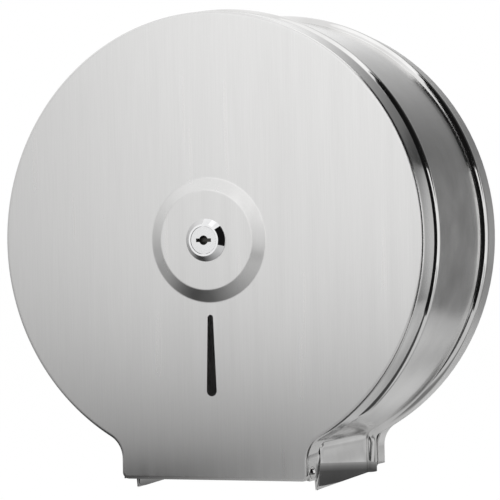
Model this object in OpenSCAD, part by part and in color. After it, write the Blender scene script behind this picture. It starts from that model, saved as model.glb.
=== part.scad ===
// Jumbo toilet roll dispenser: a round stainless case on a rectangular foot, with a locked front cover
// that swings down on two rivets, and a turning sleeve for the roll.
// +Z is up, +Y points into the wall and -Y at the user. The origin is on the case's axis, in the wall's plane.
// In the modules, h is a height above the wall, measured towards the user.

/* [Case] */
// Diameter of the round cover and of the back pan
case_d = 274; // [240:1:300]
// Distance from the wall to the flat face of the cover
case_depth = 128; // [105:1:150]
// Width of the foot under the round case
foot_w = 122; // [90:1:150]
// Radius of the hollow fillet between the round case and the foot
foot_fillet_r = 15; // [8:1:25]
// Outer radius of the bend between a flat face and its rim
edge_r = 1.6; // [1.3:0.1:2.2]

/* [Cover] */
// Thickness of the cover's and the drum's sheet
sheet_t = 0.8; // [0.6:0.1:1]
// Depth of the cover's rim, from its face to its rear edge
cover_rim = 16.5; // [14:0.5:19]
// Length of the cover's foot below the fillets
cover_foot_h = 12.5; // [10:0.5:15]
// Depth of the short lip along the cover's bottom edge
lip_depth = 3.5; // [2.5:0.5:4.5]
// Distance from the side of the foot to the end of the lip
lip_end_gap = 8; // [5:0.5:15]
// Radius of the face's two bottom corners
corner_r = 3; // [2:0.5:5]
// Diameter of the boss where it rises from the face
boss_d = 75; // [66:1:90]
// Diameter of the boss's flat top
boss_top_d = 59; // [45:1:62]
// Height of the boss above the face
boss_rise = 4; // [2:0.5:6]

/* [Viewing slot] */
// Distance from the case's axis down to the top of the slot
slot_drop = 45.8; // [45:0.2:55]
// Length of the slot
slot_len = 48.9; // [30:0.1:60]
// Width of the slot's narrow top
slot_top_w = 3.1; // [2:0.1:5]
// Width of the slot's wide bottom
slot_bottom_w = 6.5; // [5.5:0.1:10]

/* [Lock] */
// Diameter of the lock's bezel where it lies on the boss
bezel_d = 25.6; // [24:0.2:30]
// Diameter of the bezel's front edge
bezel_front_d = 19.2; // [18.6:0.2:21]
// Height of the bezel above the boss
bezel_h = 3.8; // [3.2:0.1:5]
// Diameter of the lock's threaded barrel
barrel_d = 18.8; // [17:0.2:19.8]
// Width of the barrel across its two flats
barrel_flats = 16.4; // [15.4:0.2:16.8]
// Length of the barrel behind the boss's top face
barrel_len = 17.5; // [14:0.5:20]
// Diameter of the plug's visible head
plug_head_d = 16.4; // [14.4:0.2:17]
// Diameter of the plug inside the barrel
plug_d = 13; // [12:0.2:13.2]
// Length of the keyway, which lies level when the lock is open
keyway_len = 9.8; // [7:0.2:11]
// Width of the keyway
keyway_w = 2.2; // [1.5:0.1:3]
// Diameter of the round opening in the middle of the keyway
keyhole_d = 5.7; // [4:0.1:7]
// Depth of the keyway
keyway_depth = 5; // [3:0.5:7]
// Width of the lock nut across its flats
nut_flats = 24; // [23:0.5:27]
// Thickness of the lock nut
nut_t = 4; // [3:0.5:5]
// Distance from the lock's axis to the tip of the cam
cam_reach = 17; // [15:0.5:17.2]
// Width of the cam's tongue
cam_w = 10; // [8:0.5:10.5]
// Thickness of the cam
cam_t = 2; // [1.5:0.1:3]
// Turn of the key from open to locked, in degrees
key_turn = 90; // [90:1:100]

/* [Hinge] */
// Distance from the cover's face back to the hinge's axis
hinge_back = 8; // [7.5:0.1:8.5]
// Height of the hinge's axis above the cover's bottom edge
hinge_up = 4.8; // [4.5:0.1:6.5]
// Diameter of the hinge rivets' shanks
rivet_d = 4; // [3:0.1:4.5]
// Diameter of the hinge rivets' domed heads
rivet_head_d = 7.5; // [6:0.1:8.5]
// Height of the hinge rivets' domed heads
rivet_head_h = 2; // [1.2:0.1:2.5]
// Radius of the round ends of the drum's hinge ears
ear_r = 5; // [4.6:0.1:5.4]

/* [Drum] */
// Distance from the case's outline in to the drum's wall
drum_inset = 2.5; // [2.2:0.1:3.5]
// Outer radius of the two beads rolled into the drum
bead_r = 4; // [3.6:0.1:4.2]
// Height of the beads' crests above the case's outline
bead_rise = 2.2; // [1.8:0.1:2.4]
// Width of the drum's plain collar between the pan's rim and the rear bead
collar_w = 4.4; // [3.5:0.1:10]
// Length of the drum's legs below the fillets, at their front edge
leg_front_h = 19.1; // [17:0.1:25]
// Length of the drum's legs below the fillets, at their rear edge
leg_rear_h = 14.9; // [13:0.1:17]

/* [Back pan] */
// Thickness of the pan's sheet
pan_t = 1; // [0.8:0.1:1.2]
// Height of the pan's rim from the wall
pan_rim = 12.5; // [9:0.5:16]
// Length of the pan's foot below the fillets
pan_foot_h = 11.2; // [9:0.1:12.5]
// Diameter of the raised pad that carries the spindle
pad_d = 96; // [92:1:104]
// Height of the pad above the pan
pad_rise = 3; // [2.5:0.1:4]
// Sideways distance between the wall screws
screw_span_x = 150; // [130:1:160]
// Upright distance between the wall screws
screw_span_z = 124; // [110:1:140]
// Diameter of the wall screws' holes
screw_hole_d = 6.5; // [4:0.1:8]

/* [Spindle] */
// Diameter of the spindle tube
post_d = 40; // [39:0.5:46]
// Wall of the spindle tube
post_wall = 2; // [1.6:0.1:2.2]
// Diameter of the spindle's flange
flange_d = 84; // [76:1:86]
// Thickness of the spindle's flange
flange_t = 2; // [1.5:0.1:3]
// Radius of the circle of rivets that hold the flange
flange_rivet_ring_r = 36; // [32:0.5:36.5]
// Diameter of the flange rivets' shanks
flange_rivet_d = 5; // [4:0.1:5]
// Thickness of the strike plate on the end of the tube
strike_t = 1.5; // [1:0.1:2]
// Diameter of the strike plate's round opening for the lock
strike_hole_d = 22; // [21:0.2:24]
// Outer diameter of the turning sleeve
sleeve_d = 48; // [47:0.5:56]
// Diameter of the sleeve's rear flange
sleeve_flange_d = 60; // [58:1:62]
// Thickness of the sleeve's rear flange
sleeve_flange_t = 2; // [1.5:0.1:3]
// Thickness of the thrust washer behind the sleeve
thrust_t = 1; // [0.6:0.1:1.5]
// Thickness of the retaining ring
ring_t = 1; // [0.8:0.1:1.2]
// Width of the retaining ring's band
ring_band = 3; // [2.5:0.1:3.5]

/* [Hidden] */
$fn = 96;

// Clearances
running_gap = 0.2;      // round a turning shaft, on the radius
sleeve_gap = 0.25;      // between the spindle tube and the sleeve, on the radius
thrust_gap = 0.3;       // at each end of the sleeve
fixed_gap = 0.1;        // between pieces that are fitted and stay put
rivet_gap = 0.15;       // round the hinge rivets in the cover, on the radius
front_gap = 0.75;       // between the cover's rim and the drum's front bead
lock_play = 1;          // between the strike plate and the cam
over = 1;               // how far a cutting tool runs past the metal

// Joins inside one bent sheet. Its stretches run a little way into each other, and so that no two faces lie
// in one surface there, the round strip is a hair thinner than the flat face, and the foot's strips thinner again.
round_hair = 0.02;
foot_hair = 0.04;
face_run = 0.15;
strip_run = 0.4;
strip_run_angle = strip_run / foot_fillet_r * 180 / PI;

// Case outline: a circle, two hollow fillets and the foot's upright sides
case_r = case_d / 2;
foot_half = foot_w / 2;
fillet_x = foot_half + foot_fillet_r;
fillet_z = -sqrt(pow(case_r + foot_fillet_r, 2) - pow(fillet_x, 2));
tangent_angle = acos(fillet_x / (case_r + foot_fillet_r));
cover_bottom = fillet_z - cover_foot_h;
pan_bottom = fillet_z - pan_foot_h;

// Boss and lock, as heights above the wall
boss_top = case_depth + boss_rise;
boss_under = boss_top - sheet_t;
bezel_front = boss_top + bezel_h;
barrel_end = boss_top - barrel_len;
barrel_wall_bore = plug_d / 2 + running_gap;
plug_head_len = 2.5;
plug_front_set = 0.3;
plug_head_front = bezel_front - plug_front_set;
plug_head_rear = plug_head_front - plug_head_len;
counterbore_floor = plug_head_rear - running_gap;
bezel_band_h = 0.5;
lock_washer_t = 1;
lock_washer_lap = 2.5;
lock_washer_d = nut_flats + 2 * lock_washer_lap;

// The stop disc, cam, washer and screw follow one another behind the barrel
stop_disc_t = 0.8;
stop_disc_front = barrel_end - running_gap;
cam_front = stop_disc_front - stop_disc_t;
cam_rear = cam_front - cam_t;
cam_hub_r = 7.5;
drive_w = 8;
drive_end = cam_rear + fixed_gap;
cam_washer_t = 0.8;
cam_washer_d = 11;
cam_washer_rear = cam_rear - cam_washer_t;
cam_screw_d = 3.9;
cam_screw_len = 7;
cam_screw_head_d = 7.5;
cam_screw_head_h = 2.5;
cam_screw_slot_w = 1.2;
cam_screw_slot_depth = 1.1;
screw_tip_room = 1;

// The barrel's stop lug runs in a notch of the stop disc
lug_half_angle = 10;
lug_side_room = 2;
lug_inner_r = 7.2;
stop_disc_set = 0.5;
stop_disc_r = barrel_d / 2 - stop_disc_set;
lug_angle = 90;

// Strike plate and spindle: the cam turns behind the strike plate
strike_rear = cam_front + lock_play;
strike_side_room = 1;
cam_tip_room = 0.6;
flange_front = pad_rise + pan_t + flange_t;
post_bore = post_d / 2 - post_wall;
ring_room = 0.1;
ring_setback = 3.4;
ring_front = strike_rear - ring_setback;
ring_rear = ring_front - ring_t;
ring_depth = 0.8;
ring_gap_half_angle = 20;
ring_lug_r = 2.4;
ring_lug_set = 1;
ring_lug_hole_d = 1.6;
thrust_front = flange_front + thrust_t;
thrust_lap = 4;
sleeve_rear = thrust_front + thrust_gap;
sleeve_front = ring_rear - thrust_gap;
sleeve_bore = post_d / 2 + sleeve_gap;
sleeve_chamfer = 1;

// Flange rivets
flange_rivet_count = 4;
flange_rivet_turn = 45;
flange_rivet_head_lap = 2;
flange_rivet_head_r = flange_rivet_d / 2 + flange_rivet_head_lap;
flange_rivet_head_h = 1.6;
flange_rivet_tail_lap = 1.5;
flange_rivet_tail_r = flange_rivet_d / 2 + flange_rivet_tail_lap;
flange_rivet_tail_h = 1.6;

// Drum, as heights above the wall. The collar starts where the pan's own bend ends
front_bead_h = case_depth - cover_rim - front_gap - bead_r;
rear_bead_h = pan_rim + collar_w + bead_r;
bead_centre = bead_rise - bead_r;
drum_inner = -drum_inset - sheet_t;
collar_outer = -pan_t - fixed_gap;
collar_low = edge_r;

// Hinge
hinge_h = case_depth - hinge_back;
hinge_z = cover_bottom + hinge_up;
ear_outer = foot_half - drum_inset;
ear_inner = ear_outer - sheet_t;
ear_below = 3;
flange_inner = foot_half - sheet_t;
spacer_t = flange_inner - ear_outer - 2 * fixed_gap;
spacer_d = 10;
rivet_tail_lap = 1.2;
rivet_tail_d = rivet_d + 2 * rivet_tail_lap;
rivet_tail_h = 1.4;

// Shared shapes

// Turns a drawing in the wall's plane so that it rises from the wall towards the user
module from_wall(h = 0) rotate([90, 0, 0]) translate([0, 0, h]) children();

// A disc or ring that lies parallel to the wall
module wall_ring(outer_r, inner_r, h_low, h_high) {
    from_wall(h_low) difference() {
        cylinder(r = outer_r, h = h_high - h_low);
        if (inner_r > 0) translate([0, 0, -over]) cylinder(r = inner_r, h = h_high - h_low + 2 * over);
    }
}

// The foot's outline below the circle, with its hollow fillets
module foot_outline(inset, bottom) difference() {
    polygon([
        [0, 0],
        [fillet_x, fillet_z],
        [foot_half - inset, fillet_z],
        [foot_half - inset, bottom],
        [inset - foot_half, bottom],
        [inset - foot_half, fillet_z],
        [-fillet_x, fillet_z],
    ]);
    for (side = [-1, 1]) translate([side * fillet_x, fillet_z]) circle(r = foot_fillet_r + inset + round_hair);
}

// The whole case's outline
module case_outline(inset, bottom) {
    circle(r = case_r - inset);
    foot_outline(inset, bottom);
}

// Carries a wall's section, drawn as distance outside the outline against height, round the whole outline
module round_case(bottom) {
    from_wall() rotate([0, 0, -tangent_angle])
        rotate_extrude(angle = 180 + 2 * tangent_angle) translate([case_r, 0]) thinned(round_hair) children();
    for (side = [0, 1]) mirror([side, 0, 0]) translate([fillet_x, 0, fillet_z]) {
        from_wall() rotate([0, 0, 180]) mirror([0, 1, 0]) rotate_extrude(angle = tangent_angle + strip_run_angle)
            translate([foot_fillet_r, 0]) mirror([1, 0]) thinned(foot_hair) children();
        translate([-foot_fillet_r, 0, bottom - fillet_z]) linear_extrude(fillet_z - bottom)
            mirror([0, 1]) thinned(foot_hair) children();
    }
}

// Tells the sections below how much to take off each side of their metal
module thinned(hair) {
    $hair = hair;
    children();
}

// Section of the bend between a face and its rim, with its outer side up and to the right
module bend_section(t) {
    intersection() {
        difference() {
            circle(r = edge_r - $hair);
            circle(r = edge_r - t + $hair);
        }
        square(edge_r);
    }
}

// Section of the cover's rim with its bend
module cover_rim_section(rim) {
    translate([-sheet_t + $hair, case_depth - rim + $hair]) square([sheet_t - 2 * $hair, rim - edge_r - $hair]);
    translate([-edge_r, case_depth - edge_r]) bend_section(sheet_t);
}

// Section of the pan's rim with its bend
module pan_rim_section() {
    translate([-pan_t + $hair, edge_r]) square([pan_t - 2 * $hair, pan_rim - edge_r - $hair]);
    translate([-edge_r, edge_r]) mirror([0, 1]) bend_section(pan_t);
}

// Section of one bead rolled outwards, open to the inside
module bead_section(bead_h) {
    leg = bead_centre - drum_inner;
    outer_r = bead_r - $hair;
    inner_r = bead_r - sheet_t + $hair;
    inner_side = drum_inner + 2 * $hair;
    difference() {
        union() {
            difference() {
                translate([bead_centre, bead_h]) circle(r = outer_r);
                translate([inner_side - 2 * bead_r, bead_h - bead_r - over]) square(2 * [bead_r, bead_r + over]);
            }
            translate([drum_inner + $hair, bead_h - outer_r]) square([leg - $hair, 2 * outer_r]);
        }
        translate([bead_centre, bead_h]) circle(r = inner_r);
        translate([drum_inner - over, bead_h - inner_r]) square([leg + over, 2 * inner_r]);
    }
}

// Section of the whole drum: collar, rear bead, wall and front bead
module drum_section() {
    collar_high = rear_bead_h - bead_r + sheet_t - $hair;
    wall_low = rear_bead_h + bead_r - sheet_t + $hair;
    wall_high = front_bead_h - bead_r + sheet_t - $hair;
    thin_t = sheet_t - 2 * $hair;
    translate([collar_outer - sheet_t + $hair, collar_low]) square([thin_t, collar_high - collar_low]);
    bead_section(rear_bead_h);
    translate([drum_inner + $hair, wall_low]) square([thin_t, wall_high - wall_low]);
    bead_section(front_bead_h);
}

// A round area pressed up out of a sheet, with a sloping side
module pressed_disc(base_r, top_r, base_under, rise, t) {
    from_wall() rotate_extrude() polygon([
        [0, base_under + rise],
        [top_r, base_under + rise],
        [base_r, base_under],
        [base_r, base_under + t],
        [top_r, base_under + rise + t],
        [0, base_under + rise + t],
    ]);
}

// The barrel's round section with its two flats
module barrel_section(gap) {
    intersection() {
        circle(r = barrel_d / 2 + gap);
        square([barrel_d + 2 * over, barrel_flats + 2 * gap], center = true);
    }
}

// Half of a domed head, to be turned about its axis
module dome_section(head_r, head_h) {
    ball_r = (head_r * head_r + head_h * head_h) / (2 * head_h);
    intersection() {
        translate([0, head_h - ball_r]) circle(r = ball_r);
        square([head_r, head_h]);
    }
}

// Puts its children's Z axis along the hinge, from the case's middle out to one side
module along_hinge(x) translate([x, -hinge_h, hinge_z]) rotate([0, 90, 0]) children();

// A wedge from the middle out past any lock piece, between two angles
module wedge(from_angle, to_angle, reach) {
    steps = 3;
    turn = (to_angle - from_angle) / steps;
    polygon([
        [0, 0],
        for (step = [0:steps]) reach * [cos(from_angle + step * turn), sin(from_angle + step * turn)],
    ]);
}

// Cover

module viewing_slot() {
    top_r = slot_top_w / 2;
    bottom_r = slot_bottom_w / 2;
    run = slot_len - top_r - bottom_r;
    lean = asin((bottom_r - top_r) / run);
    top_z = -slot_drop - top_r;
    bottom_z = top_z - run;
    from_wall(boss_top - boss_rise - 2 * over) linear_extrude(boss_rise + 3 * over) {
        translate([0, top_z]) circle(r = top_r);
        translate([0, bottom_z]) circle(r = bottom_r);
        polygon([
            for (end = [[top_r, top_z, 1], [bottom_r, bottom_z, 1], [bottom_r, bottom_z, -1], [top_r, top_z, -1]])
                let (r = end[0] - round_hair) [end[2] * r * cos(lean), end[1] + r * sin(lean)],
        ]);
    }
}

// Rounds the two bottom corners of the cover's face
module face_corner_cuts() {
    for (side = [-1, 1])
        translate([side * (foot_half - corner_r), 0, cover_bottom + corner_r])
            from_wall(case_depth - edge_r - sheet_t) linear_extrude(edge_r + sheet_t + over) difference() {
                translate([side > 0 ? 0 : -corner_r - over, -corner_r - over]) square(corner_r + over);
                circle(r = corner_r);
            }
}

// Rounds the rim's lower rear corners about the hinge, so that they clear the legs as the cover swings
module swing_corner_cuts() {
    swing_r = cover_rim - hinge_back;
    for (side = [-1, 1])
        along_hinge(side > 0 ? flange_inner - over : -foot_half - over) difference() {
            cube([2 * swing_r, swing_r + over, sheet_t + 2 * over]);
            translate([0, 0, -over]) cylinder(r = swing_r, h = sheet_t + 4 * over);
        }
}

module front_cover() color("gainsboro") difference() {
    lip_half = foot_half - lip_end_gap;
    union() {
        from_wall(case_depth - sheet_t) linear_extrude(sheet_t) difference() {
            case_outline(edge_r - face_run, cover_bottom);
            circle(r = boss_d / 2);
            translate([-lip_half, cover_bottom - over]) square([2 * lip_half, edge_r - face_run + over]);
        }
        round_case(cover_bottom) cover_rim_section(cover_rim);
        translate([0, 0, cover_bottom]) rotate([180, 90, 0])
            linear_extrude(2 * lip_half, center = true) thinned(round_hair) cover_rim_section(lip_depth);
        pressed_disc(boss_d / 2, boss_top_d / 2, case_depth - sheet_t, boss_rise, sheet_t);
    }
    viewing_slot();
    from_wall(boss_under - over) linear_extrude(sheet_t + 2 * over) barrel_section(fixed_gap);
    for (side = [0, 1]) mirror([side, 0, 0])
        along_hinge(flange_inner - over) cylinder(r = rivet_d / 2 + rivet_gap, h = sheet_t + 2 * over);
    face_corner_cuts();
    swing_corner_cuts();
}

module lock_housing() color("silver") {
    difference() {
        union() {
            from_wall() rotate_extrude() polygon([
                [0, boss_top],
                [bezel_d / 2, boss_top],
                [bezel_d / 2, boss_top + bezel_band_h],
                [bezel_front_d / 2, bezel_front],
                [0, bezel_front],
            ]);
            from_wall(barrel_end) linear_extrude(barrel_len) barrel_section(0);
        }
        from_wall(counterbore_floor) cylinder(r = plug_head_d / 2 + running_gap, h = bezel_h + over);
        from_wall(barrel_end - over) cylinder(r = barrel_wall_bore, h = barrel_len + bezel_h);
    }
    from_wall(barrel_end - stop_disc_t) linear_extrude(stop_disc_t) intersection() {
        difference() {
            barrel_section(0);
            circle(r = lug_inner_r);
        }
        wedge(lug_angle - lug_half_angle, lug_angle + lug_half_angle, barrel_d);
    }
}

module lock_washer() color("silver")
    wall_ring(lock_washer_d / 2, barrel_d / 2 + fixed_gap, boss_under - lock_washer_t, boss_under);

module lock_nut() color("silver") {
    nut_front = boss_under - lock_washer_t;
    from_wall(nut_front - nut_t) difference() {
        cylinder(r = nut_flats / 2 / cos(30), h = nut_t, $fn = 6);
        translate([0, 0, -over]) cylinder(r = barrel_d / 2 + fixed_gap, h = nut_t + 2 * over);
    }
}

// Lock core

module lock_plug() color("lightgray") difference() {
    union() {
        wall_ring(plug_head_d / 2, 0, plug_head_rear, plug_head_front);
        wall_ring(plug_d / 2, 0, stop_disc_front, plug_head_rear);
        from_wall(drive_end) linear_extrude(stop_disc_front - drive_end)
            square(drive_w - fixed_gap, center = true);
    }
    from_wall(plug_head_front - keyway_depth) linear_extrude(keyway_depth + over) {
        square([keyway_len, keyway_w], center = true);
        circle(r = keyhole_d / 2);
    }
    from_wall(drive_end - over)
        cylinder(r = cam_screw_d / 2 + fixed_gap / 2, h = cam_screw_len + screw_tip_room + over);
}

module lock_stop_disc() color("silver")
    from_wall(cam_front) linear_extrude(stop_disc_t) difference() {
        circle(r = stop_disc_r);
        square(drive_w, center = true);
        difference() {
            wedge(lug_angle - lug_half_angle - lug_side_room,
                lug_angle + lug_half_angle + lug_side_room + key_turn, barrel_d);
            circle(r = lug_inner_r - running_gap);
        }
    }

module lock_cam() color("silver")
    from_wall(cam_rear) linear_extrude(cam_t) difference() {
        union() {
            circle(r = cam_hub_r);
            intersection() {
                translate([0, -cam_w / 2]) square([cam_reach + over, cam_w]);
                circle(r = cam_reach);
            }
        }
        square(drive_w, center = true);
    }

module cam_washer() color("silver")
    wall_ring(cam_washer_d / 2, cam_screw_d / 2 + fixed_gap, cam_washer_rear, cam_rear);

module cam_screw() color("silver") {
    head_rear = cam_washer_rear - cam_screw_head_h;
    from_wall(cam_washer_rear) cylinder(r = cam_screw_d / 2, h = cam_screw_len + cam_washer_t);
    difference() {
        wall_ring(cam_screw_head_d / 2, 0, head_rear, cam_washer_rear);
        from_wall(head_rear - over) linear_extrude(cam_screw_slot_depth + over)
            square([cam_screw_head_d + over, cam_screw_slot_w], center = true);
    }
}

// Case

module back_plate() color("lightgray") difference() {
    union() {
        from_wall() linear_extrude(pan_t) difference() {
            case_outline(edge_r - face_run, pan_bottom);
            circle(r = pad_d / 2);
        }
        round_case(pan_bottom) pan_rim_section();
        pressed_disc(pad_d / 2, pad_d / 2 - pad_rise, 0, pad_rise, pan_t);
    }
    for (x = [-1, 1], z = [-1, 1])
        translate([x * screw_span_x / 2, 0, z * screw_span_z / 2])
            from_wall(-over) cylinder(r = screw_hole_d / 2, h = pan_t + 2 * over);
    for (i = [0:flange_rivet_count - 1])
        rotate([0, flange_rivet_turn + i * 360 / flange_rivet_count, 0])
            translate([flange_rivet_ring_r, 0, 0]) from_wall(pad_rise - over)
                cylinder(r = flange_rivet_d / 2 + fixed_gap, h = pan_t + 2 * over);
}

// Takes the slanted bottoms off the drum's legs, and shortens the collar there to the pan's foot
module leg_end_cuts() {
    leg_front_z = fillet_z - leg_front_h;
    leg_rear_z = fillet_z - leg_rear_h;
    collar_h = rear_bead_h - bead_r;
    rotate([90, 0, 90]) linear_extrude(2 * foot_w, center = true) polygon([
        [-front_bead_h - bead_r - over, leg_front_z - (leg_rear_z - leg_front_z) * over / (front_bead_h - collar_h)],
        [-front_bead_h - bead_r, leg_front_z],
        [-collar_h, leg_rear_z],
        [-collar_h, pan_bottom],
        [over, pan_bottom],
        [over, leg_front_z - foot_w],
        [-front_bead_h - bead_r - over, leg_front_z - foot_w],
    ]);
}

// The flat ears at the front of the legs, which carry the hinge rivets
module hinge_ears() {
    ear_root = front_bead_h + bead_r - sheet_t;
    for (side = [0, 1]) mirror([side, 0, 0]) {
        along_hinge(ear_inner) difference() {
            union() {
                cylinder(r = ear_r, h = sheet_t);
                translate([-ear_r, 0, 0]) cube([ear_r + ear_below, hinge_h - ear_root, sheet_t]);
            }
            translate([0, 0, -over]) cylinder(r = rivet_d / 2 + fixed_gap, h = sheet_t + 2 * over);
        }
    }
}

module drum_wall() color("darkgray") {
    difference() {
        round_case(fillet_z - leg_front_h - over) drum_section();
        leg_end_cuts();
    }
    hinge_ears();
}

// One hinge rivet: its domed head is outside the cover, and its tail is formed inside the ear
module hinge_rivet() {
    head_seat = foot_half + fixed_gap;
    tail_seat = ear_inner - fixed_gap;
    along_hinge(tail_seat) cylinder(r = rivet_d / 2, h = head_seat - tail_seat);
    along_hinge(head_seat) rotate_extrude() dome_section(rivet_head_d / 2, rivet_head_h);
    along_hinge(tail_seat - rivet_tail_h) cylinder(r = rivet_tail_d / 2, h = rivet_tail_h);
}

module hinge_spacer() along_hinge(ear_outer + fixed_gap) difference() {
    cylinder(r = spacer_d / 2, h = spacer_t);
    translate([0, 0, -over]) cylinder(r = rivet_d / 2 + fixed_gap, h = spacer_t + 2 * over);
}

module hinge_rivet_left() color("silver") mirror([1, 0, 0]) hinge_rivet();

module hinge_rivet_right() color("silver") hinge_rivet();

module hinge_spacer_left() color("white") mirror([1, 0, 0]) hinge_spacer();

module hinge_spacer_right() color("white") hinge_spacer();

module spindle_flange() color("gray") difference() {
    wall_ring(flange_d / 2, 0, pad_rise + pan_t, flange_front);
    for (i = [0:flange_rivet_count - 1])
        rotate([0, flange_rivet_turn + i * 360 / flange_rivet_count, 0])
            translate([flange_rivet_ring_r, 0, 0]) from_wall(pad_rise)
                cylinder(r = flange_rivet_d / 2 + fixed_gap, h = pan_t + flange_t + over);
}

module spindle_rivets() color("silver")
    for (i = [0:flange_rivet_count - 1])
        rotate([0, flange_rivet_turn + i * 360 / flange_rivet_count, 0])
            translate([flange_rivet_ring_r, 0, 0]) {
                wall_ring(flange_rivet_d / 2, 0, pad_rise, flange_front);
                from_wall(flange_front) rotate_extrude() dome_section(flange_rivet_head_r, flange_rivet_head_h);
                wall_ring(flange_rivet_tail_r, 0, pad_rise - flange_rivet_tail_h, pad_rise);
            }

module spindle_post() color("silver") difference() {
    wall_ring(post_d / 2, post_bore, flange_front, strike_rear);
    wall_ring(post_d, post_d / 2 - ring_depth - ring_room / 2, ring_rear - ring_room, ring_front + ring_room);
}

module strike_plate() color("silver")
    from_wall(strike_rear) linear_extrude(strike_t) difference() {
        circle(r = post_d / 2);
        circle(r = strike_hole_d / 2);
        intersection() {
            translate([0, -cam_w / 2 - strike_side_room]) square([post_d, cam_w + 2 * strike_side_room]);
            circle(r = cam_reach + cam_tip_room);
        }
    }

module sleeve_washer() color("white")
    wall_ring(sleeve_d / 2 + thrust_lap, post_d / 2 + fixed_gap, flange_front, thrust_front);

module retaining_ring() color("dimgray") {
    inner_r = post_d / 2 - ring_depth;
    outer_r = inner_r + ring_band;
    lug_reach = outer_r - ring_lug_set;
    from_wall(ring_rear) linear_extrude(ring_t) difference() {
        union() {
            difference() {
                circle(r = outer_r);
                wedge(-90 - ring_gap_half_angle, -90 + ring_gap_half_angle, post_d);
            }
            for (side = [-1, 1])
                rotate(-90 + side * ring_gap_half_angle) translate([lug_reach, 0]) circle(r = ring_lug_r);
        }
        circle(r = inner_r);
        for (side = [-1, 1])
            rotate(-90 + side * ring_gap_half_angle) translate([lug_reach, 0]) circle(r = ring_lug_hole_d / 2);
    }
}

// Roll sleeve

module roll_sleeve() color("slategray") from_wall() rotate_extrude() polygon([
    [sleeve_bore, sleeve_rear],
    [sleeve_flange_d / 2, sleeve_rear],
    [sleeve_flange_d / 2, sleeve_rear + sleeve_flange_t],
    [sleeve_d / 2, sleeve_rear + sleeve_flange_t],
    [sleeve_d / 2, sleeve_front - sleeve_chamfer],
    [sleeve_d / 2 - sleeve_chamfer, sleeve_front],
    [sleeve_bore, sleeve_front],
]);

front_cover();
lock_housing();
lock_washer();
lock_nut();
lock_plug();
lock_stop_disc();
lock_cam();
cam_washer();
cam_screw();
back_plate();
drum_wall();
hinge_rivet_left();
hinge_rivet_right();
hinge_spacer_left();
hinge_spacer_right();
spindle_flange();
spindle_post();
spindle_rivets();
strike_plate();
sleeve_washer();
retaining_ring();
roll_sleeve();
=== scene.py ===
"""Looks for the jumbo roll dispenser: its finishes, its pressed cover and rolled drum, and a plain studio."""

import math
from collections import namedtuple

import bmesh
import bpy
from mathutils import Matrix, Vector


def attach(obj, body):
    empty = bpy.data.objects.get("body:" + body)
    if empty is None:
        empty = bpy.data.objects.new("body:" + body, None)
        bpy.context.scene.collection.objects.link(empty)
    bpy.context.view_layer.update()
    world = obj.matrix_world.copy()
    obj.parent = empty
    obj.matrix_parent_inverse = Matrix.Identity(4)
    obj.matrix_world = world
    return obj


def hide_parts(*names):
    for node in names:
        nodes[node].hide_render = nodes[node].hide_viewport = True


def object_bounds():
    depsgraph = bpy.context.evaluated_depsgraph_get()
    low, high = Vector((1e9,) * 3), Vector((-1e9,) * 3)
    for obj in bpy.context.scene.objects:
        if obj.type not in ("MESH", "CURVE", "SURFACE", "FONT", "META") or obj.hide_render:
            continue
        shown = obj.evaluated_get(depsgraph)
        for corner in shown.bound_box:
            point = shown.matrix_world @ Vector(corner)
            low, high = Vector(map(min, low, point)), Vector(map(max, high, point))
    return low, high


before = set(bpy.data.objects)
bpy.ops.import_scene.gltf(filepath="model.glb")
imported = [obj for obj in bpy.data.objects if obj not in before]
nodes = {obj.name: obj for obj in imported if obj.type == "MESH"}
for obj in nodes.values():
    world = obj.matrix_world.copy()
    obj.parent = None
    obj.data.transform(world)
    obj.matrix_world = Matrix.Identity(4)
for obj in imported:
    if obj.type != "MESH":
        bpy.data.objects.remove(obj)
cad_box = [list(corner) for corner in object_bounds()]
scene = bpy.context.scene

# ---------------------------------------------------------------- camera

CAMERA_PLACE = (0.7799, -1.8475, 0.0169)
CAMERA_YAW = math.radians(23.65)
CAMERA_PITCH = math.radians(0.71)
CAMERA_ROLL = math.radians(-1.16)
CAMERA_LENS = 227.0
CAMERA_SENSOR = 36.0


def make_camera():
    """The camera stands right of the cover, level with the lock."""
    data = bpy.data.cameras.new("camera")
    data.lens = CAMERA_LENS
    data.sensor_width = CAMERA_SENSOR
    camera = bpy.data.objects.new("camera", data)
    turn = Matrix.Rotation(CAMERA_YAW, 4, "Z")
    tilt = Matrix.Rotation(math.pi / 2 - CAMERA_PITCH, 4, "X")
    lean = Matrix.Rotation(CAMERA_ROLL, 4, "Z")
    camera.matrix_world = Matrix.Translation(CAMERA_PLACE) @ turn @ tilt @ lean
    scene.collection.objects.link(camera)
    scene.camera = camera


# ---------------------------------------------------------------- the case's sizes, in metres
# Heights run from the wall to the front, turns in degrees from the top.

MM = 0.001
SHEET = 0.8 * MM
CASE_R = 137 * MM
CASE_H = 128 * MM
FOOT_HALF = 61 * MM
FILLET_R = 15 * MM
FILLET_X = FOOT_HALF + FILLET_R
FILLET_Z = -math.sqrt((CASE_R + FILLET_R) ** 2 - FILLET_X ** 2)
ROUND_TURN = 180 - math.degrees(math.asin(FILLET_X / (CASE_R + FILLET_R)))
FILLET_TURN = ROUND_TURN - 90
COVER_FOOT = 12.5 * MM
COVER_BOTTOM = FILLET_Z - COVER_FOOT
HINGE_BACK = 8 * MM
HINGE_UP = 4.8 * MM
HINGE_H = CASE_H - HINGE_BACK
HINGE_Z = COVER_BOTTOM + HINGE_UP
RIVET_HOLE_R = 2.15 * MM
PLUG_FACE_H = 135.5 * MM

# ---------------------------------------------------------------- node helpers

# Noise lies mostly between these two values.
NOISE_LOW = 0.3
NOISE_HIGH = 0.7


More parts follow.
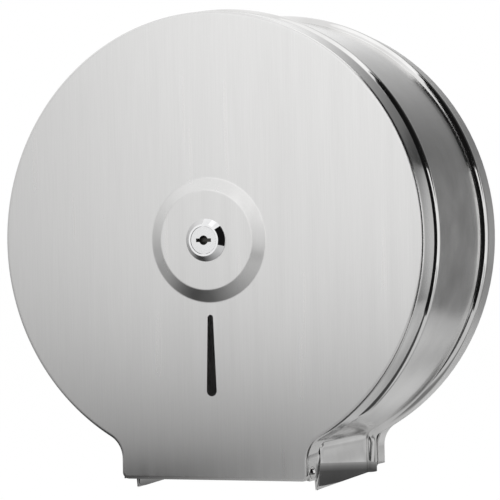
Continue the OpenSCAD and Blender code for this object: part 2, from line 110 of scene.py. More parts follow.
def new_material(name):
    """An empty node material with its output."""
    material = bpy.data.materials.new(name)
    material.use_nodes = True
    material.node_tree.nodes.clear()
    output = material.node_tree.nodes.new("ShaderNodeOutputMaterial")
    return material, material.node_tree, output


def add_node(tree, kind, **settings):
    """One node, with its properties set."""
    node = tree.nodes.new(kind)
    for key, value in settings.items():
        setattr(node, key, value)
    return node


def object_pattern(tree, stretch):
    """Object coordinates, stretched so that a pattern runs long along one axis."""
    place = add_node(tree, "ShaderNodeTexCoord")
    mapping = add_node(tree, "ShaderNodeMapping")
    mapping.inputs["Scale"].default_value = stretch
    tree.links.new(place.outputs["Object"], mapping.inputs["Vector"])
    return mapping.outputs["Vector"]


def noise(tree, stretch, scale, detail=2.0, rough=0.5):
    """Noise on stretched object coordinates."""
    node = add_node(tree, "ShaderNodeTexNoise")
    node.inputs["Scale"].default_value = scale
    node.inputs["Detail"].default_value = detail
    node.inputs["Roughness"].default_value = rough
    tree.links.new(object_pattern(tree, stretch), node.inputs["Vector"])
    return node.outputs["Fac"]


def spread(tree, value, low, high, start=NOISE_LOW, end=NOISE_HIGH):
    """A value between start and end, spread over a range of numbers."""
    node = add_node(tree, "ShaderNodeMapRange")
    node.inputs["From Min"].default_value = start
    node.inputs["From Max"].default_value = end
    node.inputs["To Min"].default_value = low
    node.inputs["To Max"].default_value = high
    tree.links.new(value, node.inputs["Value"])
    return node.outputs["Result"]


def two_tones(tree, value, dark, light, start=NOISE_LOW, end=NOISE_HIGH):
    """A noise value as a colour between two tones."""
    node = add_node(tree, "ShaderNodeMix", data_type="RGBA")
    node.inputs["A"].default_value = (*dark, 1.0)
    node.inputs["B"].default_value = (*light, 1.0)
    tree.links.new(spread(tree, value, 0.0, 1.0, start, end), node.inputs["Factor"])
    return node.outputs["Result"]


def bump(tree, value, depth):
    """A height pattern as small relief, its depth in metres."""
    node = add_node(tree, "ShaderNodeBump")
    node.inputs["Distance"].default_value = depth
    tree.links.new(value, node.inputs["Height"])
    return node.outputs["Normal"]


def from_wall(tree, start, end, low, high):
    """A number that changes with the height above the wall."""
    place = add_node(tree, "ShaderNodeTexCoord")
    split = add_node(tree, "ShaderNodeSeparateXYZ")
    tree.links.new(place.outputs["Object"], split.inputs["Vector"])
    return spread(tree, split.outputs["Y"], low, high, -start, -end)


def from_axis(tree, start, end, low, high):
    """A number that changes with the distance from the case's axis."""
    length = add_node(tree, "ShaderNodeVectorMath", operation="LENGTH")
    tree.links.new(object_pattern(tree, (1.0, 0.0, 1.0)), length.inputs[0])
    return spread(tree, length.outputs["Value"], low, high, start, end)


def product(tree, one, other):
    """Two numbers multiplied."""
    node = add_node(tree, "ShaderNodeMath", operation="MULTIPLY")
    tree.links.new(one, node.inputs[0])
    tree.links.new(other, node.inputs[1])
    return node.outputs["Value"]


def finish_shader(tree, output, metallic, colour, roughness, normal=None):
    """The surface's shader, fed by its patterns."""
    shader = add_node(tree, "ShaderNodeBsdfPrincipled")
    shader.inputs["Metallic"].default_value = metallic
    tree.links.new(colour, shader.inputs["Base Color"])
    tree.links.new(roughness, shader.inputs["Roughness"])
    if normal is not None:
        tree.links.new(normal, shader.inputs["Normal"])
    tree.links.new(shader.outputs["BSDF"], output.inputs["Surface"])
    return shader


# ---------------------------------------------------------------- finishes
# Each has its patterns, its two tones, its range of roughness and the depth of its relief.

METAL = 1.0
PLASTIC = 0.0
EVEN = (1.0, 1.0, 1.0)
SOFT_CONTRAST = (0.1, 0.9)

COVER_STREAKS = {"stretch": (1.0, 1.0, 0.02), "scale": 1800.0, "detail": 3.0}
COVER_BANDS = {"stretch": (1.0, 1.0, 0.05), "scale": 140.0}
COVER_DARK = (0.720, 0.717, 0.712)
COVER_LIGHT = (0.775, 0.772, 0.767)
COVER_ROUGH = (0.27, 0.33)
COVER_RELIEF = 0.004 * MM
COVER_ANISOTROPY = 0.7
COVER_BEND_FROM = CASE_H - 0.1 * MM
COVER_BEND_TO = CASE_H - 1.5 * MM
COVER_BEND_SHARE = 0.4


def cover_steel():
    """Satin stainless, brushed upright in fine streaks. The press left its outer bend and rim smoother."""
    material, tree, output = new_material("cover_brushed_steel")
    streaks = noise(tree, **COVER_STREAKS)
    colour = two_tones(tree, streaks, COVER_DARK, COVER_LIGHT, *SOFT_CONTRAST)
    face = spread(tree, noise(tree, **COVER_BANDS), *COVER_ROUGH)
    smoother = from_wall(tree, COVER_BEND_FROM, COVER_BEND_TO, 1.0, COVER_BEND_SHARE)
    relief = bump(tree, streaks, COVER_RELIEF)
    shader = finish_shader(tree, output, METAL, colour, product(tree, face, smoother), relief)
    shader.inputs["Anisotropic"].default_value = COVER_ANISOTROPY
    return material


STEEL_DARK = (0.690, 0.686, 0.680)
STEEL_LIGHT = (0.800, 0.797, 0.792)

DRUM_LINES = {"stretch": (0.03, 1.0, 0.03), "scale": 900.0}
DRUM_CLOUDS = {"stretch": EVEN, "scale": 35.0, "detail": 3.0}
DRUM_ROUGH = (0.15, 0.21)
DRUM_RELIEF = 0.002 * MM
DRUM_BEAD_FROM = CASE_R - 1.0 * MM
DRUM_BEAD_TO = CASE_R + 0.2 * MM
DRUM_BEAD_SHARE = 0.45


def drum_steel():
    """Mill-finish stainless strip with faint rolling lines. The rolls left its two beads smoother."""
    material, tree, output = new_material("drum_rolled_steel")
    clouds = noise(tree, **DRUM_CLOUDS)
    colour = two_tones(tree, clouds, STEEL_DARK, STEEL_LIGHT)
    wall = spread(tree, clouds, *DRUM_ROUGH)
    smoother = from_axis(tree, DRUM_BEAD_FROM, DRUM_BEAD_TO, 1.0, DRUM_BEAD_SHARE)
    relief = bump(tree, noise(tree, **DRUM_LINES), DRUM_RELIEF)
    finish_shader(tree, output, METAL, colour, product(tree, wall, smoother), relief)
    return material


PAN_STREAKS = {"stretch": (1.0, 1.0, 0.03), "scale": 1100.0, "detail": 3.0}
PAN_CLOUDS = {"stretch": EVEN, "scale": 28.0, "detail": 3.0}
PAN_DARK = (0.740, 0.737, 0.732)
PAN_LIGHT = (0.850, 0.847, 0.842)
PAN_ROUGH = (0.28, 0.36)
PAN_RELIEF = 0.003 * MM


def pan_steel():
    """The back pan's stainless: a little duller than the drum."""
    material, tree, output = new_material("pan_satin_steel")
    streaks = noise(tree, **PAN_STREAKS)
    colour = two_tones(tree, streaks, PAN_DARK, PAN_LIGHT, *SOFT_CONTRAST)
    roughness = spread(tree, noise(tree, **PAN_CLOUDS), *PAN_ROUGH)
    finish_shader(tree, output, METAL, colour, roughness, bump(tree, streaks, PAN_RELIEF))
    return material


RIVET_CLOUDS = {"stretch": EVEN, "scale": 420.0}
RIVET_ROUGH = (0.08, 0.14)


def rivet_steel():
    """Bright stainless rivets."""
    material, tree, output = new_material("rivet_bright_steel")
    clouds = noise(tree, **RIVET_CLOUDS)
    colour = two_tones(tree, clouds, STEEL_DARK, STEEL_LIGHT)
    finish_shader(tree, output, METAL, colour, spread(tree, clouds, *RIVET_ROUGH))
    return material


CHROME_CLOUDS = {"stretch": EVEN, "scale": 260.0}
CHROME_DARK = (0.800, 0.802, 0.806)
CHROME_LIGHT = (0.880, 0.882, 0.886)
CHROME_ROUGH = (0.03, 0.06)


def lock_chrome():
    """Polished chrome plate on the lock's zinc casting."""
    material, tree, output = new_material("lock_polished_chrome")
    clouds = noise(tree, **CHROME_CLOUDS)
    colour = two_tones(tree, clouds, CHROME_DARK, CHROME_LIGHT)
    finish_shader(tree, output, METAL, colour, spread(tree, clouds, *CHROME_ROUGH))
    return material


PLUG_GRAIN = {"stretch": EVEN, "scale": 2600.0, "detail": 3.0}
PLUG_ROUGH = (0.22, 0.34)
PLUG_RELIEF = 0.006 * MM
# Painted shade: the plug is painted dark from just behind its face inward, so the keyway's walls look shaded.
KEYWAY_PAINTED_SHADE = (0.060, 0.058, 0.054)
KEYWAY_FROM = PLUG_FACE_H - 0.1 * MM
KEYWAY_TO = PLUG_FACE_H - 0.6 * MM


def plug_chrome():
    """The key plug's plated face, left satin by the lathe. Inside the keyway it is painted dark, as painted
    shade in the recess.
    """
    material, tree, output = new_material("plug_satin_chrome")
    grain = noise(tree, **PLUG_GRAIN)
    colour = add_node(tree, "ShaderNodeMix", data_type="RGBA")
    colour.inputs["B"].default_value = (*KEYWAY_PAINTED_SHADE, 1.0)
    tree.links.new(two_tones(tree, grain, CHROME_DARK, CHROME_LIGHT), colour.inputs["A"])
    tree.links.new(from_wall(tree, KEYWAY_FROM, KEYWAY_TO, 0.0, 1.0), colour.inputs["Factor"])
    roughness = spread(tree, grain, *PLUG_ROUGH)
    finish_shader(tree, output, METAL, colour.outputs["Result"], roughness, bump(tree, grain, PLUG_RELIEF))
    return material


ZINC_SPANGLE = {"stretch": EVEN, "scale": 190.0, "detail": 4.0, "rough": 0.6}
ZINC_DARK = (0.560, 0.575, 0.590)
ZINC_LIGHT = (0.700, 0.715, 0.735)
ZINC_ROUGH = (0.24, 0.36)


def zinc_steel():
    """Bright zinc plate on the inner steel parts, with its cool spangle."""
    material, tree, output = new_material("inner_zinc_plate")
    spangle = noise(tree, **ZINC_SPANGLE)
    colour = two_tones(tree, spangle, ZINC_DARK, ZINC_LIGHT)
    finish_shader(tree, output, METAL, colour, spread(tree, spangle, *ZINC_ROUGH))
    return material


SPRING_CLOUDS = {"stretch": EVEN, "scale": 300.0, "detail": 3.0}
SPRING_DARK = (0.140, 0.135, 0.130)
SPRING_LIGHT = (0.220, 0.212, 0.205)
SPRING_ROUGH = (0.28, 0.40)


def spring_steel():
    """Oiled black spring steel."""
    material, tree, output = new_material("ring_spring_steel")
    clouds = noise(tree, **SPRING_CLOUDS)
    colour = two_tones(tree, clouds, SPRING_DARK, SPRING_LIGHT)
    finish_shader(tree, output, METAL, colour, spread(tree, clouds, *SPRING_ROUGH))
    return material


NYLON_GRAIN = {"stretch": EVEN, "scale": 900.0}
NYLON_DARK = (0.700, 0.690, 0.650)
NYLON_LIGHT = (0.780, 0.770, 0.730)
NYLON_ROUGH = (0.42, 0.52)
NYLON_RELIEF = 0.01 * MM


def nylon():
    """Natural nylon: a milky white with a fine moulded grain."""
    material, tree, output = new_material("spacer_nylon")
    grain = noise(tree, **NYLON_GRAIN)
    colour = two_tones(tree, grain, NYLON_DARK, NYLON_LIGHT)
    roughness = spread(tree, grain, *NYLON_ROUGH)
    finish_shader(tree, output, PLASTIC, colour, roughness, bump(tree, grain, NYLON_RELIEF))
    return material


SLEEVE_GRAIN = {"stretch": EVEN, "scale": 1500.0, "detail": 3.0}
SLEEVE_DARK = (0.330, 0.340, 0.350)
SLEEVE_LIGHT = (0.370, 0.380, 0.390)
SLEEVE_ROUGH = (0.45, 0.58)
SLEEVE_RELIEF = 0.02 * MM


def sleeve_plastic():
    """Grey moulded plastic with a fine spark-eroded grain."""
    material, tree, output = new_material("sleeve_moulded_plastic")
    grain = noise(tree, **SLEEVE_GRAIN)
    colour = two_tones(tree, grain, SLEEVE_DARK, SLEEVE_LIGHT)
    roughness = spread(tree, grain, *SLEEVE_ROUGH)
    finish_shader(tree, output, PLASTIC, colour, roughness, bump(tree, grain, SLEEVE_RELIEF))
    return material


def dress_cad_nodes():
    """Each CAD node gets its slot's finish, and the lock's plug its own. Gives the finishes by slot."""
    makers = (
        cover_steel, drum_steel, pan_steel, rivet_steel, lock_chrome,
        zinc_steel, spring_steel, nylon, sleeve_plastic,
    )
    finishes = {maker.__name__: maker() for maker in makers}
    for node in nodes.values():
        for holder in node.material_slots:
            holder.material = finishes[holder.material.name]
    nodes["lock_plug"].material_slots[0].material = plug_chrome()
    return finishes


# ---------------------------------------------------------------- shape helpers

SHARP_TURN = math.radians(34)
MERGE = 0.002 * MM
INTO_WALL = Vector((0.0, 1.0, 0.0))
RIGHT = Vector((1.0, 0.0, 0.0))
CASE_AXIS = Vector((0.0, 0.0, 0.0))
FILLET_AXIS = Vector((FILLET_X, 0.0, FILLET_Z))
ROUND_STEPS = 75
FILLET_STEPS = 15
RIVET_HOLE_STEPS = 24


def arc(middle, radius, start, end, steps):
    """Points round an arc in a section. The angle runs from the second direction to the first."""
    turns = [math.radians(start + (end - start) * step / steps) for step in range(steps + 1)]
    return [(middle[0] + radius * math.sin(turn), middle[1] + radius * math.cos(turn)) for turn in turns]


def ease(value, start, end):
    """A soft step from nought to one."""
    part = min(max((value - start) / (end - start), 0.0), 1.0)
    return part * part * (3.0 - 2.0 * part)


def mix(low, high, part):
    """The number at a part of the way from low to high."""
    return low + (high - low) * part


def turn_of(outward):
    """The turn from the top of a way out, in degrees."""
    return math.degrees(math.atan2(outward.x, outward.z))


def chain(shape, places):
    """A row of vertices joined by edges."""
    row = [shape.verts.new(place) for place in places]
    return row, [shape.edges.new(pair) for pair in zip(row, row[1:])]


def ring(shape, places):
    """A closed row's edges."""
    row, edges = chain(shape, places)
    return edges + [shape.edges.new((row[-1], row[0]))]


def only(kind, grown):
    """The vertices, edges or faces among what an operator made."""
    return [item for item in grown if isinstance(item, kind)]


def spin_row(shape, edges, middle, turn, steps):
    """Spins a row of edges about an axis square to the wall, and gives its last place."""
    row = list(dict.fromkeys(vert for edge in edges for vert in edge.verts)) + edges
    grown = bmesh.ops.spin(shape, geom=row, cent=middle, axis=INTO_WALL, angle=math.radians(turn),
                           steps=steps)
    return only(bmesh.types.BMEdge, grown["geom_last"])


def push_row(shape, edges, move, steps=1):
    """Extrudes a row of edges along a straight way, and gives its last place."""
    for _ in range(steps):
        grown = bmesh.ops.extrude_edge_only(shape, edges=edges)["geom"]
        edges = only(bmesh.types.BMEdge, grown)
        bmesh.ops.translate(shape, vec=Vector(move) / steps, verts=only(bmesh.types.BMVert, grown))
    return edges


def mirror_half(shape):
    """Adds the left half to a right half, and merges the two on the middle plane."""
    half = shape.verts[:] + shape.edges[:] + shape.faces[:]
    bmesh.ops.mirror(shape, geom=half, axis="X", merge_dist=MERGE)


def hinge_plate(shape, across, outline):
    """A flat face beside the foot, with the hinge rivet's hole in it. Gives what it is made of."""
    hole = arc((HINGE_H, HINGE_Z), RIVET_HOLE_R, 0, 360, RIVET_HOLE_STEPS)[:-1]
    edges = []
    for places in (outline, hole):
        edges += ring(shape, [(across, -height, up) for height, up in places])
    return bmesh.ops.triangle_fill(shape, use_beauty=True, edges=edges)["geom"]


def thicken(shape):
    """Merges doubles, turns the faces outward, and gives the sheet its thickness inward."""
    bmesh.ops.remove_doubles(shape, verts=shape.verts, dist=MERGE)
    bmesh.ops.recalc_face_normals(shape, faces=shape.faces)
    bmesh.ops.solidify(shape, geom=shape.faces[:], thickness=SHEET)


def make_piece(name, shape, body, finish, replaced):
    """Turns a finished shape into a piece: smooth, with sharp edges where it turns sharply."""
    for face in shape.faces:
        face.smooth = True
    for edge in shape.edges:
        edge.smooth = len(edge.link_faces) == 2 and edge.calc_face_angle(0.0) < SHARP_TURN
    mesh = bpy.data.meshes.new(name)
    shape.to_mesh(mesh)
    shape.free()
    piece = bpy.data.objects.new(name, mesh)
    scene.collection.objects.link(piece)
    mesh.materials.append(finish)
    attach(piece, body)
    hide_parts(replaced)


# ---------------------------------------------------------------- cover

EDGE_R = 1.8 * MM
EDGE_STEPS = 8
FACE_SUPPORT = 0.6 * MM
RIM_MIDDLE = 115.8 * MM
RIM_REAR = 111.5 * MM
# How the rim flares toward its free edge, and the turns between which the flare dies out.
RIM_LEAN = 0.021
RIM_CURL = 0.0016 / MM
FLARE_FADE = (138, 149)
LIP_DEPTH = 3.5 * MM
CORNER_R = 4 * MM
CORNER_STEPS = 10
FLANGE_TOP = -133 * MM
# The flange's lower rear corner is round about the hinge, so that it clears the drum as it swings.
SWING_R = 8.5 * MM
SWING_TURN = math.degrees(math.asin(HINGE_UP / SWING_R))
SWING_STEPS = 6

BOSS_HOLE_R = 9.6 * MM
BOSS_RISE = 4 * MM
BOSS_TOP = CASE_H + BOSS_RISE
BOSS_TOP_R = 29.4 * MM
BOSS_SLOPE = 29
BOSS_BEND_R = 2.2 * MM
BOSS_BEND_STEPS = 6
BOSS_SUPPORT = 0.6 * MM
BOSS_STEPS = 120

SLOT_TOP = -44.8 * MM
SLOT_TOP_R = 1.8 * MM
SLOT_TOP_STEPS = 10
SLOT_BOTTOM = -93.7 * MM
SLOT_BOTTOM_R = 3.25 * MM
SLOT_BOTTOM_STEPS = 14


def flared(place):
    """Where one of the rim's points ends up: the rim opens toward its free edge, but not beside the foot."""
    depth = max(CASE_H - EDGE_R + place.y, 0.0)
    outward = Vector((place.x, 0.0, place.z)).normalized()
    opening = depth * (RIM_LEAN + RIM_CURL * depth)
    return place + outward * opening * (1.0 - ease(turn_of(outward), *FLARE_FADE))


def cover_strip(shape):
    """The right half of the cover's rim with its bend, round the case and along the foot."""
    section = [(-EDGE_R - FACE_SUPPORT, CASE_H)]
    section += arc((-EDGE_R, CASE_H - EDGE_R), EDGE_R, 0, 90, EDGE_STEPS)
    section += [(0.0, height) for height in (CASE_H - LIP_DEPTH, HINGE_H, RIM_MIDDLE, RIM_REAR)]
    _, edges = chain(shape, [(0.0, -height, CASE_R + offset) for offset, height in section])
    edges = spin_row(shape, edges, CASE_AXIS, ROUND_TURN, ROUND_STEPS)
    for vert in shape.verts:
        vert.co = flared(vert.co)
    edges = spin_row(shape, edges, FILLET_AXIS, -FILLET_TURN, FILLET_STEPS)
    edges = push_row(shape, edges, (0.0, 0.0, FLANGE_TOP - FILLET_Z))
    lip = [edge for edge in edges if max(-vert.co.y for vert in edge.verts) > CASE_H - LIP_DEPTH + MERGE]
    lip = push_row(shape, lip, (0.0, 0.0, COVER_BOTTOM + CORNER_R - FLANGE_TOP))
    corner = Vector((FOOT_HALF - CORNER_R, 0.0, COVER_BOTTOM + CORNER_R))
    lip = spin_row(shape, lip, corner, 90, CORNER_STEPS)
    push_row(shape, lip, (CORNER_R - FOOT_HALF, 0.0, 0.0))


def side_flange(shape):
    """The flat end of the rim beside the foot, with its rivet hole and its rounded lower corner."""
    outline = [(height, FLANGE_TOP) for height in (CASE_H - LIP_DEPTH, HINGE_H, RIM_MIDDLE, RIM_REAR)]
    outline += arc((HINGE_H, HINGE_Z), SWING_R, 270, 270 - SWING_TURN, SWING_STEPS)
    outline += [(CASE_H - LIP_DEPTH, COVER_BOTTOM), (CASE_H - LIP_DEPTH, COVER_BOTTOM + CORNER_R)]
    hinge_plate(shape, FOOT_HALF, outline)


def boss(shape):
    """The boss pressed up round the lock, with soft bends at its foot and its shoulder."""
    slope = math.radians(BOSS_SLOPE)
    foot_r = BOSS_TOP_R + BOSS_RISE / math.tan(slope) + 2 * BOSS_BEND_R * math.tan(slope / 2)
    section = [(BOSS_HOLE_R, BOSS_TOP), (BOSS_TOP_R - BOSS_SUPPORT, BOSS_TOP)]
    section += arc((BOSS_TOP_R, BOSS_TOP - BOSS_BEND_R), BOSS_BEND_R, 0, BOSS_SLOPE, BOSS_BEND_STEPS)
    section += arc((foot_r, CASE_H + BOSS_BEND_R), BOSS_BEND_R, 180 + BOSS_SLOPE, 180, BOSS_BEND_STEPS)
    section.append((foot_r + BOSS_SUPPORT, CASE_H))
    row, edges = chain(shape, [(radius, -height, 0.0) for radius, height in section])
    bmesh.ops.spin(shape, geom=row + edges, cent=CASE_AXIS, axis=INTO_WALL, angle=math.tau, steps=BOSS_STEPS,
                   use_merge=True)


def slot_edge(shape):
    """The tapered slot's edge in the cover's face."""
    top = SLOT_TOP - SLOT_TOP_R
    bottom = SLOT_BOTTOM + SLOT_BOTTOM_R
    lean = math.degrees(math.asin((SLOT_BOTTOM_R - SLOT_TOP_R) / (top - bottom)))
    places = arc((0.0, top), SLOT_TOP_R, lean - 90, 90 - lean, SLOT_TOP_STEPS)
    places += arc((0.0, bottom), SLOT_BOTTOM_R, 90 - lean, 270 + lean, SLOT_BOTTOM_STEPS)
    ring(shape, [(across, -CASE_H, up) for across, up in places])


def front_cover_piece(finish):
    """The cover pressed from one sheet: face, boss, slot, rim, lip and hinge flanges."""
    shape = bmesh.new()
    cover_strip(shape)
    side_flange(shape)
    mirror_half(shape)
    boss(shape)
    slot_edge(shape)
    bmesh.ops.remove_doubles(shape, verts=shape.verts, dist=MERGE)
    face_edges = [edge for edge in shape.edges if len(edge.link_faces) < 2
                  and all(abs(vert.co.y + CASE_H) < MERGE for vert in edge.verts)]
    bmesh.ops.triangle_fill(shape, use_beauty=True, edges=face_edges)
    thicken(shape)
    make_piece("pressed_cover", shape, "cover", finish, "front_cover")


# ---------------------------------------------------------------- drum
# Offsets are taken outward from the case's outline.

DRUM_WALL = -1.4 * MM
LEG_WALL = -1.9 * MM
WALL_STEPS = 9
COLLAR = -1.1 * MM
COLLAR_FOOT = 1.7 * MM
COLLAR_MIDDLE = 9.7 * MM
BEAD_ROOT_R = 0.8 * MM
BEAD_ROOT_STEPS = 3
REAR_BEAD_R = 5 * MM
REAR_BEAD_RISE = 2.2 * MM
REAR_BEAD_H = 20.3 * MM
REAR_BEAD_STEPS = 16
FRONT_BEAD_R = 5.5 * MM
FRONT_BEAD_RISE = 2.2 * MM
FRONT_BEAD_STEPS = 20
DRUM_FRONT = 110.75 * MM
PLAIN_END = 97 * MM

# The turns between which the front bead dies out on the round. Then the turns on the fillet, which go down
# toward the leg, between which the bead starts again, grows narrower, and the wall moves in.
ROUND_FADE = (136, 147)
LEG_BEAD_START = (128, 117)
WIDTH_TURN = (128, 96)
INSET_TURN = (150, 95)
LEG_BEAD_TOP = 0.8
LEG_BEAD_END = 0.12
LEG_BEAD_WIDTH = 0.4

LEG_REAR_H = 15 * MM
LEG_FRONT_RUN = 19.1 * MM
LEG_REAR_RUN = 14.9 * MM
COLLAR_RUN = 11.2 * MM
LEG_STEPS = 10
TURN_SLACK = 0.01

BEND_R = 6 * MM
BEND_X = FOOT_HALF + BEND_R
BEND_Z = -math.sqrt((CASE_R + BEND_R) ** 2 - BEND_X ** 2)
BEND_START = 90 + math.degrees(math.acos(BEND_X / (CASE_R + BEND_R)))
BEND_FIRST_STEP = 2
BEND_LAST_STEP = 12
BEND_FROM = BEND_FIRST_STEP / FILLET_STEPS
BEND_TO = BEND_LAST_STEP / FILLET_STEPS

EAR_OUTER = 58.5 * MM
EAR_R = 5 * MM
EAR_STEPS = 20
EAR_BELOW = 1.4 * MM
EAR_TURN = 180 + math.degrees(math.acos(EAR_BELOW / EAR_R))
EAR_REAR = 109.95 * MM


def bead_root(middle, centre, radius, wall, side):
    """Where a bead's hollow root has its middle, and how far the bead leans there."""
    reach = radius + BEAD_ROOT_R
    rise = wall + BEAD_ROOT_R - centre
    root = (wall + BEAD_ROOT_R, middle + side * math.sqrt(reach ** 2 - rise ** 2))
    return root, math.degrees(math.asin(rise / reach))


def rear_bead():
    """The rear bead's section, from the collar over the crest to the drum's wall."""
    centre = REAR_BEAD_RISE - REAR_BEAD_R
    rear_root, rear_lean = bead_root(REAR_BEAD_H, centre, REAR_BEAD_R, COLLAR, -1)
    front_root, front_lean = bead_root(REAR_BEAD_H, centre, REAR_BEAD_R, DRUM_WALL, 1)
    places = arc(rear_root, BEAD_ROOT_R, -90, -rear_lean, BEAD_ROOT_STEPS)
    places += arc((centre, REAR_BEAD_H), REAR_BEAD_R, 180 - rear_lean, front_lean, REAR_BEAD_STEPS)[1:]
    return places + arc(front_root, BEAD_ROOT_R, 180 + front_lean, 270, BEAD_ROOT_STEPS)[1:]


def front_bead():
    """The front bead's section, from the drum's wall over the crest to its edge under the cover's rim."""
    centre = FRONT_BEAD_RISE - FRONT_BEAD_R
    middle = DRUM_FRONT - FRONT_BEAD_R
    root, lean = bead_root(middle, centre, FRONT_BEAD_R, DRUM_WALL, -1)
    places = arc(root, BEAD_ROOT_R, -90, -lean, BEAD_ROOT_STEPS)
    return places + arc((centre, middle), FRONT_BEAD_R, 180 - lean, 0, FRONT_BEAD_STEPS)[1:]


def drum_section():
    """The drum strip's section from the wall side to the front: collar, bead, plain wall and bead."""
    places = [(COLLAR, COLLAR_FOOT), (COLLAR, COLLAR_MIDDLE)] + rear_bead()
    plain = places[-1][1]
    places += [(DRUM_WALL, mix(plain, PLAIN_END, step / WALL_STEPS)) for step in range(1, WALL_STEPS + 1)]
    return places + front_bead()


def way(turn):
    """The way out from an axis at a turn from the top."""
    return Vector((math.sin(math.radians(turn)), 0.0, math.cos(math.radians(turn))))


def bend(part):
    """The drum's path where it turns from the round into the leg, and the way out from it."""
    if part < BEND_FROM:
        outward = way(mix(ROUND_TURN, BEND_START, part / BEND_FROM))
        return outward * CASE_R, outward
    if part < BEND_TO:
        outward = way(mix(BEND_START, 90, (part - BEND_FROM) / (BEND_TO - BEND_FROM)))
        return Vector((BEND_X, 0.0, BEND_Z)) - outward * BEND_R, outward
    down = (part - BEND_TO) / (1.0 - BEND_TO)
    return Vector((FOOT_HALF, 0.0, mix(BEND_Z, FILLET_Z, down))), RIGHT


# Where a point of the drum lies: the nearest place on the case's outline, the way out from there and the
# point's offset. Then its shares of the front bead's height, of the leg's inset and of the bead's width.
Spot = namedtuple("Spot", "middle outward offset bead inset width")


def on_round(place):
    """A point on the drum's round."""
    outward = Vector((place.x, 0.0, place.z)).normalized()
    offset = math.hypot(place.x, place.z) - CASE_R
    return Spot(outward * CASE_R, outward, offset, 1.0 - ease(turn_of(outward), *ROUND_FADE), 0.0, 1.0)


def on_fillet(place):
    """A point between the round and a leg. Only the collar keeps the fillet's radius."""
    inward = Vector((place.x - FILLET_X, 0.0, place.z - FILLET_Z))
    outward = -inward.normalized()
    turned = turn_of(outward)
    bead = LEG_BEAD_TOP * ease(turned, *LEG_BEAD_START)
    inset = ease(turned, *INSET_TURN)
    width = mix(1.0, LEG_BEAD_WIDTH, ease(turned, *WIDTH_TURN))
    middle = FILLET_AXIS - outward * FILLET_R
    if -place.y > LEG_REAR_H:
        middle, outward = bend((ROUND_TURN - turned) / FILLET_TURN)
    return Spot(middle, outward, FILLET_R - inward.length, bead, inset, width)


def on_leg(place):
    """A point on a leg, where the bead runs out downward."""
    bead = mix(LEG_BEAD_TOP, LEG_BEAD_END, (FILLET_Z - place.z) / LEG_FRONT_RUN)
    return Spot(Vector((FOOT_HALF, 0.0, place.z)), RIGHT, place.x - FOOT_HALF, bead, 1.0, LEG_BEAD_WIDTH)


def leg_run(height):
    """How far a leg reaches below the fillet: less at its rear than at its front, and least at the collar."""
    if height > LEG_REAR_H:
        return mix(LEG_REAR_RUN, LEG_FRONT_RUN, (height - LEG_REAR_H) / (DRUM_FRONT - LEG_REAR_H))
    return COLLAR_RUN


def pressed(place):
    """Where a point of the drum ends up. The front bead stops before the foot and starts again on the leg."""
    leg = place.z < FILLET_Z + MERGE
    if leg:
        spot = on_leg(place)
    else:
        spot = on_round(place) if turn_of(place) < ROUND_TURN + TURN_SLACK else on_fillet(place)
    offset = spot.offset
    height = -place.y
    if height > PLAIN_END + MERGE:
        # Where the bead dies out, its edge stays curled in below the wall. On the leg the edge flattens too.
        if offset > DRUM_WALL or spot.inset == 1.0:
            offset = mix(DRUM_WALL, offset, spot.bead)
        height = mix(DRUM_FRONT, height, spot.width)
    if height > LEG_REAR_H:
        offset += spot.inset * (LEG_WALL - DRUM_WALL)
    middle = spot.middle.copy()
    if leg:
        middle.z = mix(FILLET_Z, FILLET_Z - leg_run(height), (FILLET_Z - place.z) / LEG_FRONT_RUN)
    return middle + spot.outward * offset - INTO_WALL * height


def hinge_ear(shape, side):
    """A flat ear that reaches forward from one leg to its hinge rivet."""
    outline = arc((HINGE_H, HINGE_Z), EAR_R, 0, EAR_TURN, EAR_STEPS)
    outline += [(EAR_REAR, HINGE_Z - EAR_BELOW), (EAR_REAR, HINGE_Z + EAR_R)]
    faces = only(bmesh.types.BMFace, hinge_plate(shape, side * EAR_OUTER, outline))
    grown = bmesh.ops.extrude_face_region(shape, geom=faces)["geom"]
    bmesh.ops.translate(shape, vec=(-side * SHEET, 0.0, 0.0), verts=only(bmesh.types.BMVert, grown))


def drum_piece(finish):
    """The drum: a strip with two rolled beads, bent round the case and down into two legs with hinge ears."""
    shape = bmesh.new()
    _, edges = chain(shape, [(0.0, -height, CASE_R + offset) for offset, height in drum_section()])
    edges = spin_row(shape, edges, CASE_AXIS, ROUND_TURN, ROUND_STEPS)
    edges = spin_row(shape, edges, FILLET_AXIS, -FILLET_TURN, FILLET_STEPS)
    push_row(shape, edges, (0.0, 0.0, -LEG_FRONT_RUN), LEG_STEPS)
    for vert in shape.verts:
        vert.co = pressed(vert.co)
    mirror_half(shape)
    thicken(shape)
    strip = set(shape.faces)
    for side in (1, -1):
        hinge_ear(shape, side)
    ears = [face for face in shape.faces if face not in strip]
    bmesh.ops.recalc_face_normals(shape, faces=ears)
    make_piece("rolled_drum", shape, "case", finish, "drum_wall")


# ---------------------------------------------------------------- studio

# Where the legs end. The cards stand and lie there, and the floor is lower.
FOOT_Z = cad_box[0][2]
FLOOR_DROP = 0.17
FLOOR_SIZE = 30.0
FLOOR_TONE = (0.16, 0.16, 0.16, 1.0)
FLOOR_GLOW = 0.91
WHITE = (1.0, 1.0, 1.0, 1.0)
BACKGROUND_LEVEL = 1.0
AMBIENT_LEVEL = 0.55
OBJECT_MIDDLE = Vector((0.0, -0.064, 0.0))
TOP_BOX = {"azimuth": 15.0, "rise": 62.0, "distance": 1.4, "width": 1.2, "height": 0.9, "level": 1.2}
RIGHT_BOX = {"azimuth": 112.0, "rise": 4.0, "distance": 1.3, "width": 0.45, "height": 0.9, "level": 1.3}


